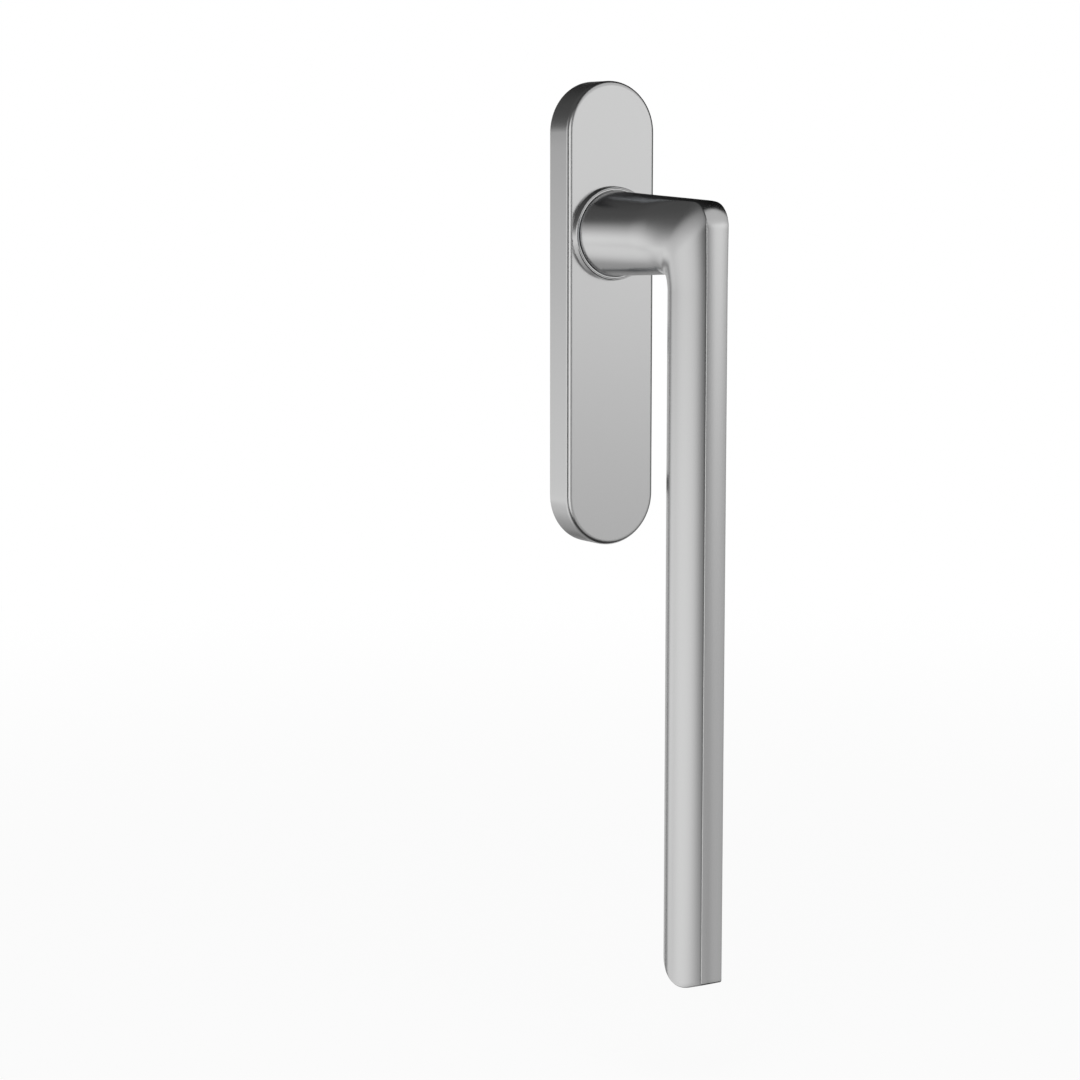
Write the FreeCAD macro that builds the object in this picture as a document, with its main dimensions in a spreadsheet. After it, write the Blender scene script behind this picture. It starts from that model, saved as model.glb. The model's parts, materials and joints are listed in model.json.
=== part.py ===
import FreeCAD, Part
import math
import os
import re
import Sketcher

from FreeCAD import Vector

# Handle of a lift and slide door: an oval cover plate over a die-cast carrier, and a cranked
# lever whose round neck turns in the carrier.
# Frame: millimetres, +Z up. The door's face is the plane Y = 0 and the handle stands out
# towards -Y. The origin is on the spindle's axis, which runs along Y.
# A depth is a distance in front of the door's face, so depth = -Y.

doc = FreeCAD.newDocument("lift_and_slide_handle")
sheet = doc.addObject("Spreadsheet::Sheet", "Sizes")

SIZES = [
    ("journal_radius", 10.0, "radius of the journal that turns in the bushes"),
    ("neck_step", 5.7, "how much wider the neck is than the journal"),
    ("neck_gap", 0.25, "collar to neck"),
    ("collar_wall", 1.3, "wall of the collar"),
    ("collar_proud", 2.6, "cover plate's front to the collar's front"),
    ("collar_bevel", 0.4, "bevel of the collar's front edge"),
    ("plate_margin", 1.5, "hole in the cover to its straight sides"),
    ("plate_bottom", 116.9, "spindle axis to the plate's lower end"),
    ("plate_depth", 13.0, "door face to the plate's front"),
    ("plate_edge", 1.4, "rounding of the plate's front edge"),
    ("plate_wall", 1.2, "sheet thickness of the cover"),
    ("cover_gap", 0.25, "cover to carrier, and cover to collar"),
    ("end_margin", 16.1, "upper screw to the plate's upper end"),
    ("base_floor", 4.0, "thickness of the carrier's floor"),
    ("rim_width", 1.6, "thickness of the carrier's rim"),
    ("rim_drop", 3.8, "inside of the cover back to the rim's front"),
    ("rib_width", 1.6, "thickness of a cross rib"),
    ("rib_count", 3, "cross ribs between the lower screw and the lower spring"),
    ("journal_gap", 0.05, "running fit of the journal in its bushes"),
    ("bush_wall", 1.25, "wall of a bush"),
    ("bush_flange", 0.8, "thickness of a bush's flange"),
    ("bush_length", 1.9, "length of a bush's sleeve"),
    ("bush_space", 0.2, "one bush's sleeve to the other's"),
    ("flange_width", 1.9, "how far a bush's flange stands out from its sleeve"),
    ("recess_gap", 0.4, "flange to the wall of the recess in the hub's back"),
    ("track_width", 2.4, "depth of the stop tab's track beside that recess"),
    ("stop_gap", 0.15, "running gap round the stop disc"),
    ("seat_gap", 0.05, "end play where one face runs on another"),
    ("disc_depth", 1.5, "thickness of the stop disc"),
    ("flat_cut", 1.5, "depth of each of the journal's flats"),
    ("tab_width", 9.0, "width of the stop disc's tab"),
    ("shim_depth", 0.5, "thickness of the shim"),
    ("spring_height", 0.75, "height of the spring washer in place"),
    ("spring_sheet", 0.4, "sheet thickness of the spring washer"),
    ("clip_depth", 1.2, "thickness of the retaining ring"),
    ("clip_width", 2.3, "how far the retaining ring stands out from the journal"),
    ("clip_inset", 0.8, "door face to the retaining ring"),
    ("clip_opening", 3.0, "opening of the retaining ring"),
    ("groove_cut", 0.5, "depth of the retaining ring's groove"),
    ("journal_end", 0.3, "door face to the journal's end"),
    ("spindle_width", 10.0, "spindle, across its flats"),
    ("spindle_fit", 0.1, "socket wider than the spindle"),
    ("spindle_bevel", 0.6, "bevel of the spindle's corners"),
    ("spindle_reach", 22.0, "door face to the spindle's free end"),
    ("socket_front", 38.0, "door face to the end of the socket"),
    ("pin_radius", 1.5, "radius of the cross pin"),
    ("pin_inset", 0.3, "end of the cross pin to the journal's surface"),
    ("pin_fit", 0.02, "hole wider than the cross pin"),
    ("screw_offset", 40.0, "spindle axis to each fixing screw"),
    ("screw_radius", 3.0, "radius of a fixing screw's thread"),
    ("screw_shank", 2.65, "radius of the plain shank under its head"),
    ("screw_thread", 1.0, "door face back to where the thread begins"),
    ("screw_clear", 0.2, "screw hole wider than the screw"),
    ("screw_reach", 20.0, "door face to the screw's free end"),
    ("screw_tip", 0.4, "bevel of a screw's free end"),
    ("boss_radius", 7.0, "radius of a screw boss"),
    ("washer_depth", 1.0, "thickness of a screw's washer"),
    ("washer_radius", 5.9, "radius of a screw's washer"),
    ("head_radius", 5.2, "radius of a screw's head"),
    ("head_depth", 3.4, "height of a screw's head"),
    ("head_space", 1.0, "screw's head to the inside of the cover"),
    ("hex_across", 4.0, "socket in a screw's head, across its flats"),
    ("hex_depth", 2.0, "depth of that socket"),
    ("spring_strip", 0.6, "sheet thickness of a cover spring"),
    ("spring_wide", 6.0, "width of a cover spring"),
    ("spring_drop", 1.6, "inside of the cover back to the tips of a cover spring"),
    ("rivet_radius", 2.0, "radius of the stub that holds a cover spring"),
    ("grip_front", 82.2, "door face to the grip's front facet"),
    ("grip_depth", 26.0, "grip, front facet to back"),
    ("grip_half", 8.45, "half of the grip's greatest width"),
    ("back_share", 10.5, "length of the grip's rounded back"),
    ("facet_half", 4.45, "half of the front facet's width"),
    ("facet_crown", 20.0, "radius of the front facet's crown"),
    ("ridge_blend", 0.3, "ridge beside the facet to where its rounding begins"),
    ("flank_lean", 28.0, "angle between a flank and straight back, at the ridge, in degrees"),
    ("neck_top_fall", 2.9, "fall of the neck's upper line up to the outer corner"),
    ("neck_low_rise", 1.6, "rise of the neck's lower line up to the inner corner"),
    ("outer_corner", 9.0, "radius of the crank's outer corner"),
    ("inner_corner", 5.5, "radius of the crank's inner corner"),
    ("tip_front", 270.0, "spindle axis down to the tip's front corner"),
    ("tip_slant", 19.0, "slant of the tip's end face, in degrees"),
    ("tip_flat", 5.6, "front facet back to the end of the slanted face"),
    ("tip_rise", 18.0, "height of the tip's rounded heel"),
]

for row, (alias, number, meaning) in enumerate(SIZES, start=1):
    sheet.set(f"A{row}", meaning)
    sheet.set(f"B{row}", str(number))
    sheet.setAlias(f"B{row}", alias)
doc.recompute()

size = {alias: float(sheet.get(alias)) for alias, _, _ in SIZES}


def bound(text):
    """The same formula with each size's name pointing into the sheet."""
    return re.sub(r"[a-z_]+", lambda word: f"Sizes.{word[0]}" if word[0] in size else word[0], text)


def value(text):
    """What a formula of sizes comes to now."""
    answer = sheet.evalExpression(bound(text))
    return float(getattr(answer, "Value", answer))


# Sketches and features, each bound to the sheet


def new_body(label):
    body = doc.addObject("PartDesign::Body", label)
    body.Label = label
    return body


def new_sketch(body, role, offset="0"):
    """A sketch on one of the body's own planes, moved along the plane's normal."""
    sketch = body.newObject("Sketcher::SketchObject", f"{body.Name}_outline")
    plane = next(f for f in body.Origin.OriginFeatures if f.Role == role)
    sketch.AttachmentSupport = [(plane, "")]
    sketch.MapMode = "FlatFace"
    sketch.setExpression("AttachmentOffset.Base.z", bound(offset))
    return sketch


def fix_point(sketch, element, point, across, along):
    """Hold a point of the sketch at two formulas, measured from the sketch's origin."""
    for kind, formula in (("DistanceX", across), ("DistanceY", along)):
        held = sketch.addConstraint(
            Sketcher.Constraint(kind, -1, 1, element, point, value(formula))
        )
        sketch.setExpression(f"Constraints[{held}]", bound(formula))


def add_polygon(sketch, corners):
    """A closed outline of straight lines through corners given as pairs of formulas."""
    places = [Vector(value(across), value(along), 0) for across, along in corners]
    first = sketch.GeometryCount
    count = len(corners)
    for i in range(count):
        sketch.addGeometry(Part.LineSegment(places[i], places[(i + 1) % count]), False)
    for i in range(count):
        following = first + (i + 1) % count
        sketch.addConstraint(Sketcher.Constraint("Coincident", first + i, 2, following, 1))
    for i, (across, along) in enumerate(corners):
        fix_point(sketch, first + i, 1, across, along)


def add_circle(sketch, radius, across="0", along="0"):
    centre = Vector(value(across), value(along), 0)
    ring = sketch.addGeometry(Part.Circle(centre, Vector(0, 0, 1), value(radius)), False)
    fix_point(sketch, ring, 3, across, along)
    held = sketch.addConstraint(Sketcher.Constraint("Radius", ring, value(radius)))
    sketch.setExpression(f"Constraints[{held}]", bound(radius))


def add_stadium(sketch, radius, top, bottom):
    """Two half circles of one radius joined by straight sides, between two heights."""
    r = value(radius)
    high = Vector(0, value(top) - r, 0)
    low = Vector(0, value(bottom) + r, 0)
    side = Vector(r, 0, 0)
    normal = Vector(0, 0, 1)
    upper = sketch.addGeometry(Part.ArcOfCircle(Part.Circle(high, normal, r), 0, math.pi), False)
    left = sketch.addGeometry(Part.LineSegment(high - side, low - side), False)
    under = Part.ArcOfCircle(Part.Circle(low, normal, r), math.pi, 2 * math.pi)
    lower = sketch.addGeometry(under, False)
    right = sketch.addGeometry(Part.LineSegment(low + side, high + side), False)
    chain = [(upper, 2, left, 1), (left, 2, lower, 1), (lower, 2, right, 1), (right, 2, upper, 1)]
    for joint in chain:
        sketch.addConstraint(Sketcher.Constraint("Tangent", *joint))
    fix_point(sketch, upper, 3, "0", f"{top} - ({radius})")
    fix_point(sketch, lower, 3, "0", f"{bottom} + ({radius})")
    held = sketch.addConstraint(Sketcher.Constraint("Radius", upper, r))
    sketch.setExpression(f"Constraints[{held}]", bound(radius))


def pad(body, sketch, length):
    """Fill the sketch along its plane's normal."""
    feature = body.newObject("PartDesign::Pad", f"{body.Name}_pad")
    feature.Profile = sketch
    feature.setExpression("Length", bound(length))
    return feature


def pocket(body, sketch, length, forwards=False):
    """Cut the sketch out against its plane's normal, or along it where forwards."""
    feature = body.newObject("PartDesign::Pocket", f"{body.Name}_pocket")
    feature.Profile = sketch
    feature.Reversed = forwards
    feature.setExpression("Length", bound(length))
    return feature


def turned(label, corners, height="0"):
    """A turned piece: its half section, as radius and depth, swept round the line along Y."""
    body = new_body(label)
    section = new_sketch(body, "XY_Plane", height)
    add_polygon(section, [(radius, f"-({depth})") for radius, depth in corners])
    feature = body.newObject("PartDesign::Revolution", f"{body.Name}_turning")
    feature.Profile = section
    feature.ReferenceAxis = (section, ["V_Axis"])
    feature.Angle = 360
    return body


# Radii and half widths about the spindle's axis, from the journal outwards

bush_bore = "(journal_radius + journal_gap)"
bush_radius = f"({bush_bore} + bush_wall)"
flange_radius = f"({bush_radius} + flange_width)"
washer_bore = "(journal_radius + 2 * stop_gap)"
shim_radius = f"({flange_radius} - 2 * stop_gap)"
clip_radius = "(journal_radius + clip_width)"
disc_flat = "(journal_radius - flat_cut)"
recess_radius = f"({flange_radius} + recess_gap)"
stop_radius = f"({recess_radius} + track_width)"
neck_radius = "(journal_radius + neck_step)"
collar_inner = f"({neck_radius} + neck_gap)"
collar_radius = f"({collar_inner} + collar_wall)"
opening_radius = f"({collar_radius} + cover_gap)"
plate_half = f"({opening_radius} + plate_margin)"
inner_half = f"({plate_half} - plate_wall)"
base_half = f"({inner_half} - cover_gap)"

# Depths of the pieces stacked on the journal, from the door's face to the front

clip_front = "(clip_inset + clip_depth)"
shim_back = f"({clip_front} + spring_height)"
disc_back = f"({shim_back} + shim_depth)"
disc_front = f"({disc_back} + disc_depth)"
rear_flange = f"({disc_front} + seat_gap)"
recess_depth = f"({rear_flange} + bush_flange)"
hub_front = f"({recess_depth} + 2 * bush_length + bush_space)"
flange_front = f"({hub_front} + bush_flange)"
neck_back = f"({flange_front} + seat_gap)"
pin_depth = f"({hub_front} - pin_radius)"

# Depths of the carrier's other forms, from the cover's inside to the back

collar_front = "(plate_depth + collar_proud)"
cover_inside = "(plate_depth - plate_wall)"
rim_depth = f"({cover_inside} - rim_drop)"
spring_front = f"({cover_inside} - spring_drop)"
head_back = f"({cover_inside} - head_space - head_depth)"
boss_front = f"({head_back} - washer_depth)"

# Heights along the plate

plate_top = "(screw_offset + end_margin)"
base_top = f"({plate_top} - plate_wall - cover_gap)"
base_bottom = "(-plate_bottom + plate_wall + cover_gap)"
spring_upper = f"(({collar_radius} + screw_offset - boss_radius) / 2)"
spring_lower = f"(plate_bottom - {plate_half} - spring_wide / 2)"
rib_pitch = f"(({spring_lower} - screw_offset) / (rib_count + 1))"
rib_first = f"(screw_offset + {rib_pitch})"


# The cover plate is one drawn shell, open at the back, with a round hole for the collar

cover = new_body("cover_plate")
outline = new_sketch(cover, "XZ_Plane")
add_stadium(outline, plate_half, plate_top, "-plate_bottom")
cover_pad = pad(cover, outline, "plate_depth")
doc.recompute()
front_edges = [
    f"Edge{number}"
    for number, edge in enumerate(cover.Shape.Edges, start=1)
    if abs(edge.BoundBox.YMax + size["plate_depth"]) < 1e-6
]
rounding = cover.newObject("PartDesign::Fillet", "cover_plate_rounding")
rounding.Base = (cover_pad, front_edges)
rounding.setExpression("Radius", bound("plate_edge"))
cover.Tip = rounding
hollow = new_sketch(cover, "XZ_Plane")
add_stadium(hollow, inner_half, f"({plate_top} - plate_wall)", "(-plate_bottom + plate_wall)")
pocket(cover, hollow, cover_inside, forwards=True)
opening = new_sketch(cover, "XZ_Plane")
add_circle(opening, opening_radius)
pocket(cover, opening, "plate_depth + plate_wall", forwards=True)


# The carrier: a floor with a rim, a hub for the bushes, screw bosses, ribs and two rivet stubs

base = new_body("base_plate")
floor = new_sketch(base, "XZ_Plane")
add_stadium(floor, base_half, base_top, base_bottom)
pad(base, floor, "base_floor")
rim = new_sketch(base, "XZ_Plane")
add_stadium(rim, base_half, base_top, base_bottom)
add_stadium(
    rim, f"({base_half} - rim_width)", f"({base_top} - rim_width)", f"({base_bottom} + rim_width)"
)
pad(base, rim, rim_depth)
rib = new_sketch(base, "XZ_Plane")
rib_half = f"({base_half} - rim_width / 2)"
add_polygon(rib, [
    (f"-{rib_half}", f"-{rib_first} - rib_width / 2"),
    (rib_half, f"-{rib_first} - rib_width / 2"),
    (rib_half, f"-{rib_first} + rib_width / 2"),
    (f"-{rib_half}", f"-{rib_first} + rib_width / 2"),
])
rib_pad = pad(base, rib, f"{cover_inside} - cover_gap")
doc.recompute()
ribs = base.newObject("PartDesign::LinearPattern", "base_plate_ribs")
ribs.Originals = [rib_pad]
ribs.Direction = (rib, ["V_Axis"])
ribs.Reversed = True
ribs.setExpression("Occurrences", bound("rib_count"))
ribs.setExpression("Length", bound(f"{rib_pitch} * (rib_count - 1)"))
base.Tip = ribs
hub = new_sketch(base, "XZ_Plane")
add_circle(hub, collar_radius)
pad(base, hub, hub_front)
bosses = new_sketch(base, "XZ_Plane")
stubs = new_sketch(base, "XZ_Plane")
screw_holes = new_sketch(base, "XZ_Plane")
for height in ("screw_offset", "-screw_offset"):
    add_circle(bosses, "boss_radius", along=height)
    add_circle(screw_holes, "screw_radius + screw_clear", along=height)
for height in (spring_upper, f"-{spring_lower}"):
    add_circle(stubs, "rivet_radius", along=height)
pad(base, bosses, boss_front)
pad(base, stubs, "base_floor + 2 * spring_strip")
pocket(base, screw_holes, boss_front, forwards=True)
bore = new_sketch(base, "XZ_Plane")
add_circle(bore, bush_radius)
pocket(base, bore, hub_front, forwards=True)
recess = new_sketch(base, "XZ_Plane")
add_circle(recess, recess_radius)
pocket(base, recess, recess_depth, forwards=True)
# The stop track is the part of a larger circle that lies beside one straight shoulder: the
# disc's tab meets that shoulder with one side at rest and with the other after half a turn.
track = new_sketch(base, "XZ_Plane")
shoulder = value("tab_width / 2 + stop_gap")
track_radius = value(stop_radius)
turn = math.acos(shoulder / track_radius)
track_circle = Part.Circle(Vector(0, 0, 0), Vector(0, 0, 1), track_radius)
track_arc = track.addGeometry(Part.ArcOfCircle(track_circle, turn, 2 * math.pi - turn), False)
upper_end = Vector(shoulder, track_radius * math.sin(turn), 0)
lower_end = Vector(shoulder, -track_radius * math.sin(turn), 0)
track_line = track.addGeometry(Part.LineSegment(lower_end, upper_end), False)
track.addConstraint([
    Sketcher.Constraint("Coincident", track_arc, 3, -1, 1),
    Sketcher.Constraint("Coincident", track_arc, 2, track_line, 1),
    Sketcher.Constraint("Coincident", track_line, 2, track_arc, 1),
    Sketcher.Constraint("Vertical", track_line),
])
held = track.addConstraint(Sketcher.Constraint("Radius", track_arc, track_radius))
track.setExpression(f"Constraints[{held}]", bound(stop_radius))
held = track.addConstraint(Sketcher.Constraint("DistanceX", -1, 1, track_line, 1, shoulder))
track.setExpression(f"Constraints[{held}]", bound("tab_width / 2 + stop_gap"))
pocket(base, track, rear_flange, forwards=True)


# The collar stands proud of the cover and closes the gap round the neck

turned("guide_ring", [
    (collar_inner, hub_front),
    (collar_radius, hub_front),
    (collar_radius, f"{collar_front} - collar_bevel"),
    (f"{collar_radius} - collar_bevel", collar_front),
    (collar_inner, collar_front),
])


# Two flanged plastic bushes, one from each side, carry the journal

turned("front_bush", [
    (bush_bore, f"{hub_front} - bush_length"),
    (bush_radius, f"{hub_front} - bush_length"),
    (bush_radius, hub_front),
    (flange_radius, hub_front),
    (flange_radius, flange_front),
    (bush_bore, flange_front),
])
turned("rear_bush", [
    (bush_bore, rear_flange),
    (flange_radius, rear_flange),
    (flange_radius, recess_depth),
    (bush_radius, recess_depth),
    (bush_radius, f"{recess_depth} + bush_length"),
    (bush_bore, f"{recess_depth} + bush_length"),
])


# Behind the rear bush: stop disc, shim, spring washer and retaining ring

disc = new_body("stop_disc")
disc_round = new_sketch(disc, "XZ_Plane", disc_back)
add_circle(disc_round, shim_radius)
pad(disc, disc_round, "disc_depth")
disc_tab = new_sketch(disc, "XZ_Plane", disc_back)
tab_reach = f"sqrt(({stop_radius} - 2 * stop_gap) ^ 2 - (tab_width / 2) ^ 2)"
add_polygon(disc_tab, [
    ("-tab_width / 2", f"-{shim_radius} / 2"),
    ("-tab_width / 2", f"-{tab_reach}"),
    ("tab_width / 2", f"-{tab_reach}"),
    ("tab_width / 2", f"-{shim_radius} / 2"),
])
pad(disc, disc_tab, "disc_depth")
disc_bore = new_sketch(disc, "XZ_Plane", disc_front)
bore_radius = value("journal_radius + pin_fit")
flat = value(f"{disc_flat} + pin_fit")
corner = math.acos(flat / bore_radius)
bore_circle = Part.Circle(Vector(0, 0, 0), Vector(0, 0, 1), bore_radius)
over = disc_bore.addGeometry(Part.ArcOfCircle(bore_circle, corner, math.pi - corner), False)
below = Part.ArcOfCircle(bore_circle, math.pi + corner, 2 * math.pi - corner)
below = disc_bore.addGeometry(below, False)
rise = bore_radius * math.sin(corner)
left = disc_bore.addGeometry(Part.LineSegment(Vector(-flat, rise, 0), Vector(-flat, -rise, 0)), False)
right = disc_bore.addGeometry(Part.LineSegment(Vector(flat, -rise, 0), Vector(flat, rise, 0)), False)
disc_bore.addConstraint([
    Sketcher.Constraint("Coincident", over, 3, -1, 1),
    Sketcher.Constraint("Coincident", below, 3, -1, 1),
    Sketcher.Constraint("Coincident", over, 2, left, 1),
    Sketcher.Constraint("Coincident", left, 2, below, 1),
    Sketcher.Constraint("Coincident", below, 2, right, 1),
    Sketcher.Constraint("Coincident", right, 2, over, 1),
    Sketcher.Constraint("Vertical", left),
    Sketcher.Constraint("Vertical", right),
])
held = disc_bore.addConstraint(Sketcher.Constraint("Radius", over, bore_radius))
disc_bore.setExpression(f"Constraints[{held}]", bound("journal_radius + pin_fit"))
for line, side in ((left, "-"), (right, "")):
    formula = f"{side}({disc_flat} + pin_fit)"
    held = disc_bore.addConstraint(Sketcher.Constraint("DistanceX", -1, 1, line, 1, value(formula)))
    disc_bore.setExpression(f"Constraints[{held}]", bound(formula))
pocket(disc, disc_bore, "disc_depth")

turned("shim_washer", [
    (washer_bore, shim_back),
    (shim_radius, shim_back),
    (shim_radius, disc_back),
    (washer_bore, disc_back),
])
turned("spring_washer", [
    (washer_bore, clip_front),
    (washer_bore, f"{clip_front} + spring_sheet"),
    (shim_radius, shim_back),
    (shim_radius, f"{shim_back} - spring_sheet"),
])

ring = new_body("retaining_ring")
ring_round = new_sketch(ring, "XZ_Plane", "clip_inset")
add_circle(ring_round, clip_radius)
add_circle(ring_round, "journal_radius - groove_cut + pin_fit")
pad(ring, ring_round, "clip_depth")
ring_gap = new_sketch(ring, "XZ_Plane", clip_front)
add_polygon(ring_gap, [
    ("-clip_opening / 2", "0"),
    ("-clip_opening / 2", f"{clip_radius} + clip_depth"),
    ("clip_opening / 2", f"{clip_radius} + clip_depth"),
    ("clip_opening / 2", "0"),
])
pocket(ring, ring_gap, "clip_depth")


# Two screws with washers, under the cover, hold the carrier to the door

for name, height in (("upper", "screw_offset"), ("lower", "-screw_offset")):
    turned(f"{name}_screw_washer", [
        ("screw_radius + screw_clear", boss_front),
        ("washer_radius", boss_front),
        ("washer_radius", head_back),
        ("screw_radius + screw_clear", head_back),
    ], height)
    screw = turned(f"{name}_fixing_screw", [
        ("0", "-screw_reach"),
        ("screw_radius - screw_tip", "-screw_reach"),
        ("screw_radius", "-screw_reach + screw_tip"),
        ("screw_radius", "-screw_thread"),
        ("screw_shank", "-screw_thread"),
        ("screw_shank", head_back),
        ("head_radius", head_back),
        ("head_radius", f"{head_back} + head_depth"),
        ("0", f"{head_back} + head_depth"),
    ], height)
    key = new_sketch(screw, "XZ_Plane", f"{head_back} + head_depth")
    flat_half = "hex_across / 2"
    point_reach = "hex_across / sqrt(3)"
    add_polygon(key, [
        (flat_half, f"{height} - {point_reach} / 2"),
        (flat_half, f"{height} + {point_reach} / 2"),
        ("0", f"{height} + {point_reach}"),
        (f"-{flat_half}", f"{height} + {point_reach} / 2"),
        (f"-{flat_half}", f"{height} - {point_reach} / 2"),
        ("0", f"{height} - {point_reach}"),
    ])
    pocket(screw, key, "hex_depth")


# Two bent springs lie on the carrier's floor and grip the cover's side walls

leg = f"({base_half} - rim_width - spring_strip * 2)"
bulge = f"(({rim_depth} + {spring_front}) / 2)"
for name, height in (("upper", spring_upper), ("lower", f"-{spring_lower}")):
    spring = new_body(f"{name}_cover_spring")
    strip = new_sketch(spring, "XY_Plane", f"{height} - spring_wide / 2")
    outer = [
        (f"{leg}", "-base_floor"),
        (f"{leg} + spring_strip / 2", f"-{rim_depth}"),
        (f"{inner_half} - cover_gap / 2", f"-{bulge}"),
        (f"{inner_half} - spring_strip * 2", f"-{spring_front}"),
    ]
    inner = [
        (f"{inner_half} - spring_strip * 3", f"-{spring_front} + spring_strip / 2"),
        (f"{inner_half} - spring_strip * 2", f"-{bulge}"),
        (f"{leg} - spring_strip / 2", f"-{rim_depth} - spring_strip"),
        (f"{leg} - spring_strip", "-base_floor - spring_strip"),
    ]
    half = outer + inner
    mirrored = [(f"-({across})", along) for across, along in reversed(half)]
    add_polygon(strip, half + mirrored)
    pad(spring, strip, "spring_wide")
    eye = new_sketch(spring, "XZ_Plane", "base_floor + spring_strip")
    add_circle(eye, "rivet_radius + pin_fit", along=height)
    pocket(spring, eye, "spring_strip")


# The square spindle sits in the lever's socket and a cross pin holds it there

spindle = new_body("spindle")
bar = new_sketch(spindle, "XZ_Plane", "-spindle_reach")
bar_half = "spindle_width / 2"
bar_cut = "(spindle_width / 2 - spindle_bevel)"
add_polygon(bar, [
    (bar_half, f"-{bar_cut}"),
    (bar_half, bar_cut),
    (bar_cut, bar_half),
    (f"-{bar_cut}", bar_half),
    (f"-{bar_half}", bar_cut),
    (f"-{bar_half}", f"-{bar_cut}"),
    (f"-{bar_cut}", f"-{bar_half}"),
    (bar_cut, f"-{bar_half}"),
])
pad(spindle, bar, "spindle_reach + socket_front - spindle_fit")
cross_hole = new_sketch(spindle, "YZ_Plane", "spindle_width")
add_circle(cross_hole, "pin_radius + pin_fit", across=f"-{pin_depth}")
pocket(spindle, cross_hole, "2 * spindle_width")

pin = doc.addObject("Part::Cylinder", "spindle_pin")
pin.Label = "spindle_pin"
pin.Placement = FreeCAD.Placement(Vector(0, 0, 0), FreeCAD.Rotation(Vector(0, 1, 0), 90))
pin.setExpression("Radius", bound("pin_radius"))
pin.setExpression("Height", bound("2 * (journal_radius - pin_inset)"))
pin.setExpression("Placement.Base.x", bound("-(journal_radius - pin_inset)"))
pin.setExpression("Placement.Base.y", bound(f"-{pin_depth}"))


# The lever: one casting whose round section turns into the ridged grip round the crank.
# A section lies in its own plane. Its points are pairs (across, out): across is along X, and
# out points to the neck's top, and past the crank to the grip's front.
# Every section has the same five runs of points, which meet where the outline has the same
# direction on the round neck and on the grip: the crowned facet, a ridge on each side, and on
# each side the flank with half of the rounded back. Mixing two such outlines point by point
# keeps the ridges smooth, and lets them fade out on the way to the round neck.

FLANK_SHARE = 0.5
flank_top = size["grip_depth"] / 2


def slanting(angle):
    """The direction along the outline where its outward normal leans this far from out."""
    return Vector(math.cos(angle), -math.sin(angle), 0)


def leaning(angle):
    """The outward normal that leans this far from out."""
    return Vector(math.sin(angle), math.cos(angle), 0)


def grip_facet(share):
    """The crowned front, a parabola from the middle to where the ridge's rounding begins."""
    across = (size["facet_half"] - size["ridge_blend"]) * share
    return Vector(across, flank_top - across ** 2 / (2 * size["facet_crown"]), 0)


facet_angle = math.atan(grip_facet(1).x / size["facet_crown"])
ridge = grip_facet(1) + slanting(facet_angle) * size["ridge_blend"]
flank_angle = math.radians(90 - size["flank_lean"])
ridge_turn = flank_angle - facet_angle
ridge_radius = size["ridge_blend"] / math.tan(ridge_turn / 2)
ridge_centre = grip_facet(1) - leaning(facet_angle) * ridge_radius
flank_first = ridge + slanting(flank_angle) * size["ridge_blend"]
widest = Vector(size["grip_half"], size["back_share"] - flank_top, 0)
flank_fall = (size["grip_half"] - flank_first.x) / math.tan(math.radians(size["flank_lean"]))
flank_corner = Vector(size["grip_half"], flank_first.y - flank_fall, 0)


def grip_ridge(share):
    """The small rounding between the facet and a flank."""
    return ridge_centre + leaning(facet_angle + ridge_turn * share) * ridge_radius


def grip_back(share):
    """A flank that swells to the widest point, then a quarter ellipse to the back's middle.
    The flank is a quadratic curve pulled to the corner where its two end tangents meet."""
    if share < FLANK_SHARE:
        part = share / FLANK_SHARE
        pulled = flank_first * (1 - part) ** 2 + flank_corner * (2 * part * (1 - part))
        return pulled + widest * part ** 2
    angle = math.pi / 2 * (share - FLANK_SHARE) / (1 - FLANK_SHARE)
    out = widest.y - size["back_share"] * math.sin(angle)
    return Vector(size["grip_half"] * math.cos(angle), out, 0)


FACET_STEPS = 3
RIDGE_STEPS = 4
BACK_STEPS = 6

# Half of a section: an outline, the lean of its outward normal at both ends, and its steps
HALF_SECTION = [
    (grip_facet, 0.0, facet_angle, FACET_STEPS),
    (grip_ridge, facet_angle, flank_angle, RIDGE_STEPS),
    (grip_back, flank_angle, math.pi, BACK_STEPS),
]


def section_runs(place, mix, half_width, half_height):
    """The section's five runs of points, from the facet round to the ridge on its left. Each
    point lies between the ellipse (mix 0) and the grip's outline (mix 1), scaled to the half
    sizes, and is put where the function place says."""
    right = []
    for outline, first, last, steps in HALF_SECTION:
        points = []
        for step in range(steps + 1):
            angle = first + (last - first) * step / steps
            on_round = Vector(half_width * math.sin(angle), half_height * math.cos(angle), 0)
            on_grip = outline(step / steps)
            on_grip.x *= half_width / size["grip_half"]
            on_grip.y *= half_height / flank_top
            points.append(on_round * (1 - mix) + on_grip * mix)
        right.append(points)
    left = [[Vector(-p.x, p.y, 0) for p in reversed(points)] for points in right]
    runs = [left[0][:-1] + right[0], right[1], right[2], left[2], left[1]]
    return [[place(p.x, p.y) for p in run] for run in runs]


def curve_through(points, stations):
    """The smooth curve that passes each point at its station."""
    curve = Part.BSplineCurve()
    curve.interpolate(Points=list(points), Parameters=stations)
    return curve


def skin(rows, distances):
    """The smooth surface through rows of points. Each row gets a curve, and each pole of these
    curves gets a curve through its own places in all the rows."""
    steps = [float(i) for i in range(len(rows[0]))]
    around = [curve_through(row, steps) for row in rows]
    along = [curve_through(poles, distances) for poles in zip(*(c.getPoles() for c in around))]
    surface = Part.BSplineSurface()
    surface.buildFromPolesMultsKnots(
        [curve.getPoles() for curve in along],
        around[0].getMultiplicities(), along[0].getMultiplicities(),
        around[0].getKnots(), along[0].getKnots(),
        False, False, around[0].Degree, along[0].Degree,
    )
    return surface


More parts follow.
